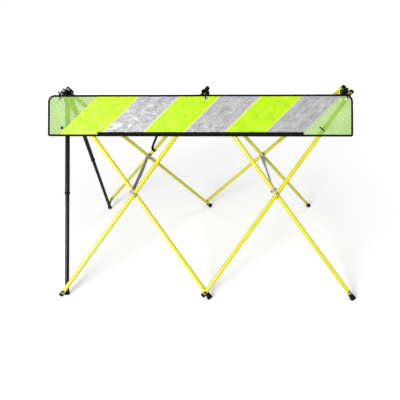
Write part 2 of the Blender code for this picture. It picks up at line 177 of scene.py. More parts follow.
def make_floor():
    """A pale paper floor that brightens into the backdrop far off, and throws no light on the object."""
    bpy.ops.mesh.primitive_plane_add(size=4 * BACKDROP_R)
    floor = bpy.context.object
    floor.name = "floor"
    look = Look("floor_paper", roughness=0.9)
    where = look.coords("Object")
    grain = look.noise(where, 3, 2)
    look.colour(look.ramp(grain, (0, (0.90, 0.90, 0.90)), (1, (0.93, 0.93, 0.93))))
    distance = look.node("VectorMath", {0: where}, operation="LENGTH").outputs["Value"]
    glow = look.node("MapRange", {"Value": distance, "From Min": 1.0, "From Max": 4.5, "To Min": 0.40,
                                  "To Max": 1.0}).outputs["Result"]
    look.fixed(emission_color=(1, 1, 1, 1))
    look.tree.links.new(glow, look.shader.inputs["Emission Strength"])
    floor.data.materials.append(look.material)
    floor.visible_diffuse = False


def make_backdrop():
    """A white dome that only the camera sees, so that it adds no light."""
    bpy.ops.mesh.primitive_uv_sphere_add(segments=48, ring_count=24, radius=BACKDROP_R)
    dome = bpy.context.object
    dome.name = "backdrop"
    look = Look("backdrop_white", base_color=(0, 0, 0, 1), roughness=1.0, emission_color=(1, 1, 1, 1),
                emission_strength=1.0)
    dome.data.materials.append(look.material)
    dome.visible_diffuse = False
    dome.visible_glossy = False
    dome.visible_transmission = False
    dome.visible_shadow = False


# ---------------------------------------------------------------- materials


class Look:
    """A node material and the few nodes that these looks are made of."""

    def __init__(self, name, **sockets):
        self.material = bpy.data.materials.new(name)
        self.material.use_nodes = True
        self.tree = self.material.node_tree
        self.shader = self.tree.nodes["Principled BSDF"]
        self.fixed(**sockets)
        self.last_normal = None

    def fixed(self, **sockets):
        for key, value in sockets.items():
            self.shader.inputs[key.replace("_", " ").title().replace("Ior", "IOR")].default_value = value

    def node(self, kind, inputs=(), **settings):
        node = self.tree.nodes.new("ShaderNode" + kind)
        for key, value in settings.items():
            setattr(node, key, value)
        for key, value in dict(inputs).items():
            if isinstance(value, bpy.types.NodeSocket):
                self.tree.links.new(value, node.inputs[key])
            else:
                node.inputs[key].default_value = value
        return node

    def coords(self, kind="Object"):
        return self.node("TexCoord").outputs[kind]

    def stretched(self, vector, scale):
        return self.node("Mapping", {"Vector": vector, "Scale": scale}).outputs["Vector"]

    def noise(self, vector, scale, detail=3, roughness=0.55):
        return self.node("TexNoise", {"Vector": vector, "Scale": scale, "Detail": detail,
                                      "Roughness": roughness}).outputs["Fac"]

    def cells(self, vector, scale, output="Distance", feature="F1"):
        return self.node("TexVoronoi", {"Vector": vector, "Scale": scale}, feature=feature).outputs[output]

    def wave(self, vector, scale, direction="X", distortion=0.0):
        return self.node("TexWave", {"Vector": vector, "Scale": scale, "Distortion": distortion},
                         bands_direction=direction).outputs["Fac"]

    def math(self, operation, a, b=0.0, clamp=False):
        return self.node("Math", {0: a, 1: b}, operation=operation, use_clamp=clamp).outputs[0]

    def axis(self, vector, name):
        return self.node("SeparateXYZ", {0: vector}).outputs[name]

    def ramp(self, fac, *stops):
        node = self.node("ValToRGB", {"Fac": fac})
        elements = node.color_ramp.elements
        while len(elements) < len(stops):
            elements.new(0.5)
        for element, (place, value) in zip(elements, stops):
            element.position = place
            element.color = (*value, 1) if isinstance(value, tuple) else (value, value, value, 1)
        return node.outputs["Color"]

    def mix(self, fac, a, b, blend="MIX"):
        node = self.node("Mix", data_type="RGBA", blend_type=blend)
        for socket, value in (("Factor", fac), ("A", a), ("B", b)):
            found = [s for s in node.inputs if s.name == socket and s.enabled][0]
            if isinstance(value, bpy.types.NodeSocket):
                self.tree.links.new(value, found)
            else:
                found.default_value = (*value, 1) if isinstance(value, tuple) else value
        return [s for s in node.outputs if s.enabled][0]

    def colour(self, value):
        self.tree.links.new(value, self.shader.inputs["Base Color"])
        return value

    def rough(self, fac, low, high):
        node = self.node("MapRange", {"Value": fac, "To Min": low, "To Max": high})
        self.tree.links.new(node.outputs["Result"], self.shader.inputs["Roughness"])

    def bump(self, height, distance, strength=1.0):
        inputs = {"Height": height, "Distance": distance, "Strength": strength}
        if self.last_normal:
            inputs["Normal"] = self.last_normal
        self.last_normal = self.node("Bump", inputs).outputs["Normal"]
        self.tree.links.new(self.last_normal, self.shader.inputs["Normal"])


def scuffed(look, base, worn, scale=90, low=0.66, high=0.72):
    """Base colour broken by a few fine scuffs, drawn out along the piece."""
    where = look.stretched(look.coords(), (1, 1, 0.25))
    scuffs = look.ramp(look.noise(where, scale, 6, 0.62), (low, 0.0), (high, 1.0))
    return look.mix(scuffs, base, worn)


def yellow_paint():
    look = Look("yellow_powder_coat", coat_weight=0.35, coat_roughness=0.12, ior=1.5)
    where = look.coords()
    cloud = look.noise(where, 9, 3)
    base = look.ramp(cloud, (0.3, (0.74, 0.70, 0.004)), (0.7, (0.83, 0.80, 0.012)))
    base = scuffed(look, base, (0.42, 0.38, 0.03), 120, 0.70, 0.76)
    look.colour(base)
    look.rough(look.noise(where, 60, 4), 0.24, 0.42)
    look.bump(look.noise(where, 900, 2), 0.00006)
    look.bump(look.noise(where, 160, 4), 0.00008)
    return look.material


def black_coat():
    look = Look("black_coated_tube", coat_weight=0.12, coat_roughness=0.2, specular_ior_level=0.12)
    where = look.coords()
    lines = look.noise(look.stretched(where, (1, 1, 0.02)), 700, 3)
    base = look.ramp(lines, (0.35, (0.003, 0.003, 0.004)), (0.75, (0.012, 0.012, 0.014)))
    look.colour(scuffed(look, base, (0.11, 0.11, 0.12), 140, 0.68, 0.75))
    look.rough(lines, 0.25, 0.5)
    look.bump(look.noise(where, 800, 2), 0.00005)
    look.bump(lines, 0.00006)
    return look.material


def moulded_black(name, rough_low, rough_high, grain_scale, grain_depth, dusty=False):
    look = Look(name, specular_ior_level=0.1)
    where = look.coords()
    grain = look.noise(where, grain_scale, 3)
    cloud = look.noise(where, 45, 4)
    base = look.ramp(cloud, (0.3, (0.002, 0.002, 0.0025)), (0.75, (0.010, 0.010, 0.011)))
    if dusty:
        dust = look.ramp(look.noise(where, 110, 6, 0.7), (0.58, 0.0), (0.80, 0.25))
        base = look.mix(dust, base, (0.14, 0.125, 0.10))
    look.colour(base)
    look.rough(grain, rough_low, rough_high)
    look.bump(grain, grain_depth)
    look.bump(cloud, grain_depth * 2)
    return look.material


def black_steel():
    look = Look("black_zinc_steel", metallic=0.85)
    where = look.coords()
    cloud = look.noise(where, 160, 5)
    look.colour(look.ramp(cloud, (0.35, (0.02, 0.02, 0.024)), (0.8, (0.10, 0.10, 0.11))))
    look.rough(cloud, 0.25, 0.5)
    look.bump(look.noise(where, 1400, 3), 0.00005)
    return look.material


def zinc_steel():
    look = Look("worn_zinc_steel", metallic=0.7)
    where = look.coords()
    cloud = look.noise(where, 160, 5)
    look.colour(look.ramp(cloud, (0.35, (0.16, 0.16, 0.15)), (0.8, (0.42, 0.42, 0.38))))
    look.rough(cloud, 0.3, 0.55)
    look.bump(look.noise(where, 1400, 3), 0.00005)
    return look.material


def nickel():
    look = Look("nickel_eyelet", metallic=0.9)
    where = look.coords("Object")
    cloud = look.noise(where, 300, 4)
    look.colour(look.ramp(cloud, (0.3, (0.62, 0.62, 0.60)), (0.8, (0.86, 0.86, 0.84))))
    look.rough(cloud, 0.18, 0.4)
    look.bump(cloud, 0.00004)
    return look.material


def webbing(name, dark, light, worn):
    look = Look(name, sheen_weight=0.3, sheen_roughness=0.5)
    where = look.coords("UV")
    warp = look.wave(where, 330, "Y")
    weft = look.wave(where, 210, "X")
    weave = look.math("MULTIPLY", warp, weft)
    stripes = look.ramp(look.noise(look.stretched(where, (0.03, 1, 1)), 160, 2),
                        (0.3, dark), (0.7, light))
    look.colour(look.mix(weave, stripes, worn))
    look.rough(weave, 0.85, 0.6)
    look.bump(weave, 0.0004)
    look.bump(look.noise(where, 700, 3), 0.0002)
    return look.material


def prismatic(name, base, bright, dark, hem, glint, rough_low, rough_high, glow=0.0, metallic=0.0):
    """Sealed prismatic sheeting: fine facets in small sealed cells, and soft creases. Its tone follows the
    wrinkles as painted light and shade, with painted shade along fold lines, painted glints along creases
    and, given a glow, a painted glow.
    """
    look = Look(name, metallic=metallic, coat_weight=0.6, coat_roughness=0.12)
    where = look.coords("UV")
    facet = look.axis(look.cells(where, 650, "Color"), 0)
    cell = look.cells(where, 210, "Distance", "DISTANCE_TO_EDGE")
    seal = look.ramp(cell, (0.02, 1.0), (0.10, 0.0))
    cloud = look.noise(where, 26, 5, 0.6)
    # partly painted light and shade: besides the facets' own mottle, the dark and bright ends follow the same
    # cloud as the wrinkle bump
    colour = look.ramp(look.mix(0.35, cloud, facet), (0.3, dark), (0.5, base), (0.72, bright))
    colour = look.mix(look.math("MULTIPLY", seal, 0.35), colour, dark)
    to_seam = look.math("PINGPONG", look.axis(where, 0), STRIPE / 2)
    to_rim = look.math("PINGPONG", look.math("SUBTRACT", look.axis(where, 1), RIM), BANNER_HEIGHT / 2 - RIM)
    creases = look.ramp(look.noise(look.stretched(where, (1.0, 0.35, 1.0)), 95, 4, 0.65),
                        (0.60, 0.0), (0.68, 1.0))
    # painted shade: thin dark lines along fold lines, where shade would fall
    fold_shade = look.ramp(look.noise(look.stretched(where, (0.4, 1.0, 1.0)), 120, 4, 0.65),
                      (0.60, 0.0), (0.70, 1.0))
    colour = look.mix(look.math("MULTIPLY", fold_shade, 0.55), colour, dark)
    # painted highlight: glint colour laid along thin crease lines
    colour = look.mix(look.math("MULTIPLY", creases, 0.75), colour, glint)
    near = look.math("MINIMUM", to_seam, to_rim)
    welded = look.ramp(near, (HEM * 0.85, 1.0), (HEM, 0.0))
    colour = look.mix(welded, colour, hem)
    look.colour(colour)
    # painted glow: the sheeting's own colour is emitted, standing in for its fluorescence
    if glow:
        look.tree.links.new(colour, look.shader.inputs["Emission Color"])
        look.fixed(emission_strength=glow)
    look.rough(facet, rough_low, rough_high)
    look.bump(cell, 0.00025)
    look.bump(cloud, 0.0024)
    look.bump(welded, 0.0004)
    return look.material


def net_thread():
    # painted glow: the thread's colour is also emitted, to brighten the net
    look = Look("green_net", emission_strength=0.10, sheen_weight=0.2)
    where = look.coords("UV")
    cloud = look.noise(where, 14, 3)
    twist = look.wave(where, 900, "DIAGONAL")
    base = look.ramp(cloud, (0.3, (0.36, 0.60, 0.10)), (0.7, (0.50, 0.72, 0.15)))
    colour = look.mix(look.math("MULTIPLY", twist, 0.3), base, (0.14, 0.36, 0.05))
    look.colour(colour)
    look.tree.links.new(colour, look.shader.inputs["Emission Color"])
    look.rough(twist, 0.7, 0.45)
    look.bump(twist, 0.0001)
    return look.material


def net_backing():
    """The net as it shows behind the sheeting, dark gaps between green threads."""
    look = Look("net_backing")
    where = look.coords("UV")
    across = look.wave(where, 147, "X")
    up = look.wave(where, 147, "Y")
    threads = look.math("MAXIMUM", across, up)
    cover = look.ramp(threads, (0.5, 0.0), (0.8, 1.0))
    look.colour(look.mix(cover, (0.30, 0.36, 0.22), (0.30, 0.60, 0.12)))
    look.rough(threads, 0.55, 0.8)
    look.bump(threads, 0.0004)
    return look.material


def edge_binding():
    look = Look("black_binding", specular_ior_level=0.08)
    where = look.coords("UV")
    rib = look.wave(where, 260, "X")
    base = look.ramp(look.noise(where, 60, 3), (0.3, (0.002, 0.002, 0.003)), (0.7, (0.010, 0.010, 0.012)))
    look.colour(look.mix(look.math("MULTIPLY", rib, 0.3), base, (0.022, 0.022, 0.026)))
    look.rough(rib, 0.5, 0.8)
    look.bump(rib, 0.0002)
    return look.material


def hook_tape():
    look = Look("hook_tape", specular_ior_level=0.08)
    where = look.coords("UV")
    hooks = look.cells(where, 620)
    look.colour(look.ramp(hooks, (0.1, (0.012, 0.012, 0.013)), (0.6, (0.002, 0.002, 0.002))))
    look.rough(hooks, 0.45, 0.85)
    look.bump(hooks, 0.0006)
    return look.material


# ---------------------------------------------------------------- mesh helpers

WORLD = Matrix.Identity(4)


def turn(bm, profile, sides, matrix=WORLD, closed=False):
    """Add a body turned about Z from (radius, height) points; a zero radius is a point on the axis."""
    rings = []
    for radius, height in profile:
        if radius == 0:
            rings.append([bm.verts.new(matrix @ Vector((0, 0, height)))])
            continue
        rings.append([bm.verts.new(matrix @ Vector((radius * math.cos(2 * math.pi * i / sides),
                                                    radius * math.sin(2 * math.pi * i / sides), height)))
                      for i in range(sides)])
    pairs = list(zip(rings, rings[1:]))
    if closed:
        pairs.append((rings[-1], rings[0]))
    for a, b in pairs:
        for i in range(sides):
            j = (i + 1) % sides
            corners = [a[i % len(a)], a[j % len(a)], b[j % len(b)], b[i % len(b)]]
            unique = list(dict.fromkeys(corners))
            if len(unique) > 2:
                bm.faces.new(unique)


def finished(bm):
    bmesh.ops.recalc_face_normals(bm, faces=bm.faces)
    mesh = bpy.data.meshes.new("mesh")
    bm.to_mesh(mesh)
    bm.free()
    return mesh


def turned(profile, sides=40, closed=False):
    bm = bmesh.new()
    turn(bm, profile, sides, closed=closed)
    return finished(bm)


def round_corner(centre, radius, start, end, steps=5):
    """Points of an arc, in degrees."""
    angles = [math.radians(start + (end - start) * i / steps) for i in range(steps + 1)]
    return [(centre[0] + radius * math.cos(a), centre[1] + radius * math.sin(a)) for a in angles]


def hex_nut(bm, z, height, radius):
    """A nut with its corners turned off, its far face at z."""
    profile = [(0, z), (radius * 0.86, z), (radius, z + height * 0.18), (radius, z + height), (0, z + height)]
    turn(bm, profile, 6)


# ---------------------------------------------------------------- tubes, caps and feet


def leg_frame(side, top_x, foot_x, layer):
    """A leg's own frame: Z up the leg from its lower pin, Y out of the row."""
    low, high = at(side, foot_x, LOWER, layer), at(side, top_x, UPPER, layer)
    return placed(low, high - low, outward(side))


TUBE_WALL = 0.0015
CAP_WALL, CAP_ROUNDING = 0.0025, 0.005


def pipe_profile(low, high, radius):
    return [(radius, high), (radius, low), (radius - TUBE_WALL, low), (radius - TUBE_WALL, high)]


def cup_profile(low, high, radius, bore):
    """A closed cup with its mouth at low and a domed end at high."""
    end = round_corner((radius - CAP_ROUNDING, high - CAP_ROUNDING), CAP_ROUNDING, 90, 0)
    return ([(0, high)] + end + [(radius, low + 0.0006), (radius - 0.0005, low), (bore, low),
                                 (bore, high - CAP_WALL), (0, high - CAP_WALL)])


def upside_down(profile):
    return [(r, -z) for r, z in reversed(profile)]


def put(mesh, matrix, name, look, body, replaced=(), sharp=38):
    """A piece set in its place by its object's matrix, which rides on a body under a material slot."""
    mesh.name = name
    piece = bpy.data.objects.new(name, mesh)
    bpy.context.scene.collection.objects.link(piece)
    if not mesh.materials:
        mesh.materials.append(look)
    mesh.shade_smooth()
    mesh.set_sharp_from_angle(angle=math.radians(sharp))
    piece.matrix_world = matrix
    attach(piece, body)
    if replaced:
        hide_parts(*replaced)
    return piece


# How far below the lower pivot the slim neck of a leg's foot ends and its wider shoe starts.
SHOE_START = 0.0295


def foot_mesh(matrix, node, bore, neck=0.0):
    """A moulded foot, cut level with the floor; with a neck it widens into a shoe below the pivot."""
    low, high = local_box(node, matrix)
    radius = max(abs(low.x), high.x)
    mouth, end = high.z, low.z
    length = mouth - end
    if neck:
        shoe = -SHOE_START
        profile = [(bore, mouth), (neck - 0.0006, mouth), (neck, mouth - 0.0006), (neck, shoe + 0.0015),
                   (radius - 0.0008, shoe), (radius, shoe - 0.001), (radius, shoe - 0.004),
                   (radius - 0.0006, shoe - 0.0045), (radius - 0.0006, shoe - 0.0055),
                   (radius, shoe - 0.006), (radius, end + 0.002)]
    else:
        profile = [(bore, mouth), (radius * 0.90, mouth), (radius * 0.93, mouth - 0.0012),
                   (radius * 0.93, mouth - length * 0.25), (radius * 0.96, mouth - length * 0.27),
                   (radius * 0.96, mouth - length * 0.36), (radius * 0.94, mouth - length * 0.38),
                   (radius, end + length * 0.3), (radius, end + 0.002)]
    profile += round_corner((radius - 0.002, end + 0.002), 0.002, 0, -90, 3)
    profile += [(0, end)]
    profile = [(0, end + 0.007), (bore, end + 0.007)] + profile
    bm = bmesh.new()
    turn(bm, profile, 40)
    bmesh.ops.remove_doubles(bm, verts=bm.verts, dist=0.00001)
    bmesh.ops.recalc_face_normals(bm, faces=bm.faces)
    bmesh.ops.transform(bm, matrix=matrix, verts=bm.verts)
    cut = bmesh.ops.bisect_plane(bm, geom=bm.verts[:] + bm.edges[:] + bm.faces[:], plane_co=(0, 0, 0),
                                 plane_no=(0, 0, -1), clear_outer=True)
    edges = [e for e in cut["geom_cut"] if isinstance(e, bmesh.types.BMEdge)]
    bmesh.ops.holes_fill(bm, edges=edges)
    bmesh.ops.transform(bm, matrix=matrix.inverted(), verts=bm.verts)
    return finished(bm)


def make_legs(row, side, looks):
    for name, (top_x, foot_x, layer) in LEGS.items():
        matrix = leg_frame(side, top_x, foot_x, layer)
        stem, body = f"{row}_{name}", f"{row}_{name}_leg"
        low, high = local_box(stem + "_tube", matrix)
        radius = high.y
        tube = turned(pipe_profile(low.z, high.z, radius), closed=True)
        put(tube, matrix, stem + "_leg", looks["yellow"], body, [stem + "_tube"])
        low, high = local_box(stem + "_top_cap", matrix)
        cap = cup_profile(low.z, high.z, high.y, radius)
        put(turned(cap), matrix, stem + "_top_end", looks["vinyl"], body, [stem + "_top_cap"])
        if name.endswith("outer"):
            low, high = local_box(stem + "_bottom_cap", matrix)
            cap = upside_down(cup_profile(-high.z, -low.z, high.y, radius))
            put(turned(cap), matrix, stem + "_bottom_end", looks["vinyl"], body,
                [stem + "_bottom_cap"])
        else:
            neck = local_box(stem + "_top_cap", matrix)[1].y
            foot = foot_mesh(matrix, stem + "_foot", radius, neck)
            put(foot, matrix, stem + "_rubber_foot", looks["rubber"], body, [stem + "_foot"])


COLLAR_LIP = 0.0018
SLIDE_GAP = 0.0004


def make_struts(row, side, looks):
    hub, slide = f"left_hub_{row}", f"{row}_strut_slide"
    matrix = placed(at(side, -BAY, LOWER, STRUT), at(side, 0, -1, 0) - at(side, 0, 0, 0), outward(side))
    low, high = local_box(f"{row}_strut_outer_tube", matrix)
    collar_r = max(high.x, -low.x)
    radius = collar_r - COLLAR_LIP
    inner_low, inner_high = local_box(f"{row}_strut_inner_tube", matrix)
    inner_r = inner_high.y
    bore = inner_r + SLIDE_GAP
    outer = [(radius, high.z), (radius, low.z + 0.010), (bore, low.z + 0.010), (bore, high.z)]
    put(turned(outer, closed=True), matrix, f"{row}_strut_sleeve", looks["coat"], hub,
        [f"{row}_strut_outer_tube"])
    collar = [(radius + 0.0001, low.z + 0.014), (collar_r - 0.0006, low.z + 0.0142),
              (collar_r, low.z + 0.0132), (collar_r, low.z + 0.0012), (collar_r - 0.0012, low.z),
              (bore, low.z), (bore, low.z + 0.0098), (radius + 0.0001, low.z + 0.0099)]
    put(turned(collar, closed=True), matrix, f"{row}_strut_collar", looks["nylon"], hub)
    inner = pipe_profile(inner_low.z, inner_high.z, inner_r)
    put(turned(inner, closed=True), matrix, f"{row}_strut_slider", looks["coat"], slide,
        [f"{row}_strut_inner_tube"])
    put(foot_mesh(matrix, f"{row}_strut_foot", inner_r), matrix, f"{row}_strut_rubber_foot", looks["rubber"],
        slide, [f"{row}_strut_foot"])


# ---------------------------------------------------------------- pins

TUBE_R = local_box("front_left_outer_tube", leg_frame(-1, 0.0, -BAY, OUTER))[1].y
SPACER_GAP = 0.0004
# Which layer lies behind the outer tube at each pin that holds a spacer between the two.
SPACER_BEHIND = {"mid_top": INNER, "left_crossing": INNER, "right_crossing": INNER, "mid_bottom": INNER,
                 "left_bottom": STRUT}
PIN_BODIES = {
    "left_top": "left_hub_{}", "mid_top": "mid_hub_{}", "right_top": "right_hub_{}",
    "left_crossing": "{}_left_outer_leg", "right_crossing": "{}_right_inner_leg",
    "left_bottom": "{}_left_outer_leg", "mid_bottom": "{}_left_inner_leg",
    "right_bottom": "{}_right_inner_leg",
}


HEAD_DEPTH = 0.005
NUT_DEPTH = 0.0045
SHANK_R = 0.004


def pin_mesh(node, matrix, has_nut):
    """A bolt with a domed head over a washer and, if it has one, a nut on a washer at its tail."""
    low, high = local_box(node, matrix)
    head, tail = high.z, low.z
    seat = head - HEAD_DEPTH
    nut = tail + NUT_DEPTH
    bm = bmesh.new()
    dome = [(0, head), (0.0022, head - 0.0002), (0.0044, head - 0.0009), (0.0060, head - 0.0021),
            (0.0068, head - 0.0034), (0.0068, seat + 0.0011), (0, seat + 0.0011)]
    turn(bm, dome, 32)
    washer = [(0, seat + 0.0011), (0.0077, seat + 0.0011), (0.0080, seat + 0.0008),
              (0.0080, seat + 0.0001), (0.0076, seat), (0, seat)]
    turn(bm, washer, 32)
    if has_nut:
        turn(bm, [(0, nut), (0.0070, nut), (0.0070, tail + 0.0036), (0, tail + 0.0036)], 32)
        hex_nut(bm, tail + 0.0008, 0.0028, 0.0062)
        thread_end = [(0, tail + 0.0009), (0.0034, tail + 0.0009), (0.0037, tail + 0.0005),
                      (0.0032, tail), (0, tail)]
        turn(bm, thread_end, 24)
    shank_end = nut if has_nut else tail
    turn(bm, [(0, seat), (SHANK_R, seat), (SHANK_R, shank_end), (0, shank_end)], 24)
    return finished(bm)


def make_pins(row, side, looks):
    for name, body in PIN_BODIES.items():
        node = f"{row}_{name}_pin"
        low, high = local_box(node, row_frame(side))
        centre = (low + high) / 2
        matrix = placed(at(side, centre.x, -centre.y, 0), outward(side), Vector((1, 0, 0)))
        has_nut = not name.endswith("top")
        bolt = pin_mesh(node, matrix, has_nut)
        body = body.format(row)
        look = looks["zinc"] if "crossing" in name or name == "right_bottom" else looks["steel"]
        put(bolt, matrix, f"{row}_{name}_bolt", look, body, [node])
        if name not in SPACER_BEHIND:
            continue
        top = OUTER - TUBE_R - SPACER_GAP
        bottom = SPACER_BEHIND[name] + TUBE_R + SPACER_GAP
        spacer = [(0.0041, top), (0.0076, top), (0.0080, top - 0.0004), (0.0080, bottom + 0.0004),
                  (0.0076, bottom), (0.0041, bottom)]
        put(turned(spacer, 32, closed=True), matrix, f"{row}_{name}_spacer", looks["nylon"], body)


def make_ridge_pins(looks):
    for hub in ("left", "mid", "right"):
        node = f"{hub}_ridge_pin"
        centre = middle(node)
        matrix = placed(centre, Vector((1, 0, 0)), Vector((0, 0, 1)))
        end = local_box(node, matrix)[1].z
        half = [(0, end), (0.0050, end), (0.0062, end - 0.0006), (0.0065, end - 0.0012),
                (0.0065, end - 0.0024), (SHANK_R, end - 0.0024)]
        put(turned(half + upside_down(half), 28), matrix, f"{hub}_ridge_bolt", looks["steel"],
            f"{hub}_hub_front", [node])


def dress_leaves(looks):
    for hub in ("left", "mid", "right"):
        for row in SIDES:
            leaf = NODES[f"{hub}_hub_{row}_leaf"]
            for i in range(max(1, len(leaf.material_slots))):
                if i < len(leaf.material_slots):
                    leaf.material_slots[i].material = looks["nylon"]
                else:
                    leaf.data.materials.append(looks["nylon"])
            weld = leaf.modifiers.new("weld", "WELD")
            weld.merge_threshold = 0.00001
            bevel = leaf.modifiers.new("rounding", "BEVEL")
            bevel.width = 0.0006
            bevel.segments = 2
            bevel.limit_method = "ANGLE"
            bevel.angle_limit = math.radians(40)


# ---------------------------------------------------------------- banner

BANNER_LOW, BANNER_HIGH = local_box("banner", row_frame(-1))
BANNER_X = (BANNER_LOW.x + BANNER_HIGH.x) / 2
LIP = 0.0048
BANNER_HALF = (BANNER_HIGH.x - BANNER_LOW.x) / 2 + LIP
BANNER_HEIGHT = BANNER_HIGH.y - BANNER_LOW.y + 2 * LIP
BANNER_TILT = 0.0069
BANNER_BACK, BANNER_FRONT = BANNER_LOW.z, BANNER_HIGH.z
TOP_ROUND, BOTTOM_ROUND = 0.038, 0.012
BINDING = 0.011
STRIPE = 0.2155
STRIPES = 6
SEAM_SHIFT = 0.0098
RIM = 0.0045
HEM = 0.009
NET_PITCH, NET_THREAD = 0.0034, 0.0027


def banner_wave(u, v):
    """How far the cloth stands out from its flat plane, in slow waves."""
    slow = noise.noise(Vector((u * 2.6, v * 3.0, 3.1)))
    return 0.0022 * slow


def banner_point(u, v, lift=0.0):
    """World point of the banner: u from its middle, v up from its lower edge, lift in front of its plane."""
    n = (BANNER_BACK + BANNER_FRONT) / 2 + banner_wave(u, v) + lift
    return at(-1, BANNER_X + u, -(BANNER_LOW.y - LIP + v - BANNER_TILT * u), n)


def uv_grid(name, columns, rows, place, uv, keep=lambda a, b: True):
    """A grid mesh with UVs in metres; place and uv take grid indices."""
    bm = bmesh.new()
    layer = bm.loops.layers.uv.new("metres")
    verts = {}

    def vert(i, j):
        if (i, j) not in verts:
            verts[i, j] = bm.verts.new(place(i, j))
        return verts[i, j]

    for i in range(columns):
        for j in range(rows):
            if not keep(i, j):
                continue
            corners = [(i, j), (i + 1, j), (i + 1, j + 1), (i, j + 1)]
            face = bm.faces.new([vert(*c) for c in corners])
            for loop, corner in zip(face.loops, corners):
                loop[layer].uv = uv(*corner)
    mesh = bpy.data.meshes.new(name)
    bm.to_mesh(mesh)
    bm.free()
    return mesh


def applied(mesh, kind, **settings):
    """A mesh after one modifier."""
    holder = bpy.data.objects.new("holder", mesh)
    bpy.context.scene.collection.objects.link(holder)
    modifier = holder.modifiers.new("modifier", kind)
    for key, value in settings.items():
        setattr(modifier, key, value)
    graph = bpy.context.evaluated_depsgraph_get()
    result = bpy.data.meshes.new_from_object(holder.evaluated_get(graph), preserve_all_data_layers=True,
                                             depsgraph=graph)
    bpy.data.objects.remove(holder, do_unlink=True)
    return result


def crumple(u, v, strength):
    """Fine creases of stiff sheeting: ridged noise, stronger in the silver stripes."""
    slow = noise.noise(Vector((u * 11, v * 15, 0.7)))
    fine = 1 - abs(noise.noise(Vector((u * 24 + 3, v * 30, 5.2)))) * 2
    tiny = 1 - abs(noise.noise(Vector((u * 55, v * 62 + 9, 1.2)))) * 2
    return strength * (0.0006 * slow + 0.0006 * fine + 0.00022 * tiny)


def stripe_of(s):
    return max(0, min(STRIPES - 1, int((s + STRIPE * STRIPES / 2) / STRIPE)))


def make_panel(looks):
    """The striped sheeting, on a grid that leans with the stripes so that each seam is clean."""
    per_stripe, rows = 44, 44
    step = STRIPE / per_stripe
    low, high = BINDING * 0.4, BANNER_HEIGHT - BINDING * 0.4

    def sheared(i, j):
        return -STRIPE * STRIPES / 2 + i * step, low + (high - low) * j / rows

    def place(i, j):
        s, v = sheared(i, j)
        from_end = STRIPE * STRIPES / 2 - abs(s)
        u = s + v - BANNER_HEIGHT / 2 + SEAM_SHIFT * min(1.0, from_end / STRIPE)
        k = stripe_of(s + step / 2)
        edge = min((s + STRIPE * 3) % STRIPE, STRIPE - (s + STRIPE * 3) % STRIPE)
        strength = (2.4 if k % 2 else 1.4) * min(1.0, 0.25 + edge / 0.03)
        seam = -0.0005 if edge < step * 0.6 else 0.0
        calm = min(1.0, (v - low) / 0.02, (high - v) / 0.02)
        return banner_point(u, v, 0.0006 + crumple(u, v, strength) * calm + seam)

    mesh = uv_grid("panel", per_stripe * STRIPES, rows, place, sheared)
    mesh.materials.append(looks["lime"])
    mesh.materials.append(looks["silver"])
    mesh.materials.append(looks["backing"])
    for face in mesh.polygons:
        face.material_index = (face.index // rows // per_stripe) % 2
    return applied(mesh, "SOLIDIFY", thickness=0.0007, offset=-1, material_offset=2, material_offset_rim=0)


def inside_outline(u, v, inset):
    """True inside the banner's outline, drawn in by inset."""
    half, height = BANNER_HALF, BANNER_HEIGHT
    if abs(u) > half - inset or v < inset or v > height - inset:
        return False
    corner_u, corner_v = abs(u) - (half - TOP_ROUND), v - (height - TOP_ROUND)
    if corner_u > 0 and corner_v > 0:
        return math.hypot(corner_u, corner_v) < TOP_ROUND - inset
    return True


def make_net(side_sign):
    """One end of the net that the sheeting is sewn to."""
    panel_edge = STRIPE * STRIPES / 2
    u_from = -BANNER_HALF if side_sign < 0 else panel_edge - BANNER_HEIGHT / 2
    u_to = -panel_edge + BANNER_HEIGHT / 2 + 0.02 if side_sign < 0 else BANNER_HALF
    columns = int((u_to - u_from) / NET_PITCH)
    rows = int(BANNER_HEIGHT / NET_PITCH)

    def flat(i, j):
        return u_from + i * NET_PITCH, j * NET_PITCH

    def keep(i, j):
        u, v = flat(i + 0.5, j + 0.5)
        s = u - (v - BANNER_HEIGHT / 2)
        return inside_outline(u, v, 0.004) and side_sign * s > panel_edge - 0.007

    mesh = uv_grid("net", columns, rows, lambda i, j: banner_point(*flat(i, j)), flat, keep)
    return applied(mesh, "WIREFRAME", thickness=NET_THREAD, use_even_offset=False)


def outline_points(step=0.01):
    """The banner's outline with its rounded corners, counter-clockwise from the lower right."""
    half, height = BANNER_HALF, BANNER_HEIGHT
    points = (round_corner((half - TOP_ROUND, height - TOP_ROUND), TOP_ROUND, 0, 90, 10)
              + round_corner((-half + TOP_ROUND, height - TOP_ROUND), TOP_ROUND, 90, 180, 10)
              + round_corner((-half + BOTTOM_ROUND, BOTTOM_ROUND), BOTTOM_ROUND, 180, 270, 6)
              + round_corner((half - BOTTOM_ROUND, BOTTOM_ROUND), BOTTOM_ROUND, 270, 360, 6))
    dense = []
    for a, b in zip(points, points[1:] + points[:1]):
        parts = max(1, int(math.dist(a, b) / step))
        dense += [(a[0] + (b[0] - a[0]) * k / parts, a[1] + (b[1] - a[1]) * k / parts) for k in range(parts)]
    return dense


